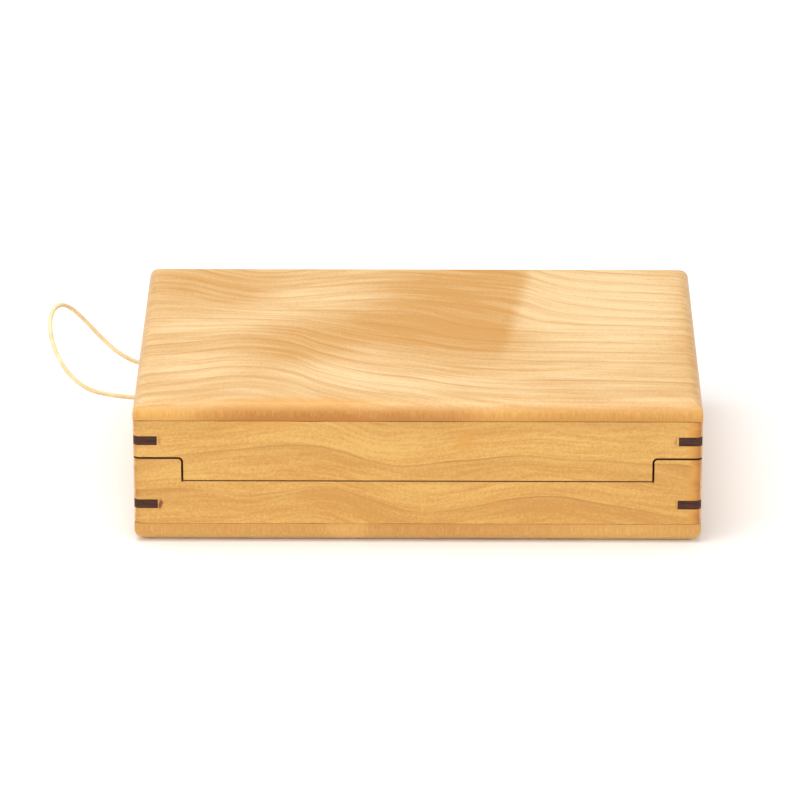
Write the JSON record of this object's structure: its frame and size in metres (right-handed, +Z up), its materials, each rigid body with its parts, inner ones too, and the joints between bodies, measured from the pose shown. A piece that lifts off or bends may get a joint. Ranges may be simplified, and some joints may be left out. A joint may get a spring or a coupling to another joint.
{
  "type": "wooden puzzle box",
  "caption": "Wooden puzzle box with a lift-off lid on a stepped seam, dark corner keys, hidden steel lock pins and a thin cord loop as the lid's pull.",
  "frame": {"origin": "centre of the box's underside", "axes": "+X to the right along the long side, +Y to the back, +Z up"},
  "size_m": [0.2215, 0.127, 0.0589],
  "materials": {
    "maple_panel": "satin",
    "maple_wall": "satin",
    "maple_liner": "matte",
    "dark_key": "satin",
    "pin_steel": "brushed",
    "cord": "matte"
  },
  "bodies": {
    "base": {"bottom_panel": "maple_panel", "base_front_wall": "maple_wall", "base_back_wall": "maple_wall", "base_left_wall": "maple_wall", "base_right_wall": "maple_wall", "base_key_front_left": "dark_key", "base_key_front_right": "dark_key", "base_key_back_left": "dark_key", "base_key_back_right": "dark_key", "liner_front": "maple_liner", "liner_back": "maple_liner"},
    "lid": {"top_panel": "maple_panel", "lid_front_wall": "maple_wall", "lid_back_wall": "maple_wall", "lid_left_wall": "maple_wall", "lid_right_wall": "maple_wall", "lid_key_front_left": "dark_key", "lid_key_front_right": "dark_key", "lid_key_back_left": "dark_key", "lid_key_back_right": "dark_key", "pull_cord": "cord", "cord_knots": "cord"},
    "pin_front_left": {"lock_pin_front_left": "pin_steel"},
    "pin_front_right": {"lock_pin_front_right": "pin_steel"},
    "pin_back_left": {"lock_pin_back_left": "pin_steel"},
    "pin_back_right": {"lock_pin_back_right": "pin_steel"}
  },
  "joints": [
    {"name": "lid_lift", "type": "slide", "parent": "base", "child": "lid", "axis": [0, 0, 1], "range_m": [0, 0.08]},
    {"name": "pin_front_left_slide", "type": "slide", "parent": "base", "child": "pin_front_left", "axis": [1, 0, 0], "range_m": [0, 0.0045]},
    {"name": "pin_front_right_slide", "type": "slide", "parent": "base", "child": "pin_front_right", "axis": [-1, 0, 0], "range_m": [0, 0.0045]},
    {"name": "pin_back_left_slide", "type": "slide", "parent": "base", "child": "pin_back_left", "axis": [1, 0, 0], "range_m": [0, 0.0045]},
    {"name": "pin_back_right_slide", "type": "slide", "parent": "base", "child": "pin_back_right", "axis": [-1, 0, 0], "range_m": [0, 0.0045]}
  ]
}
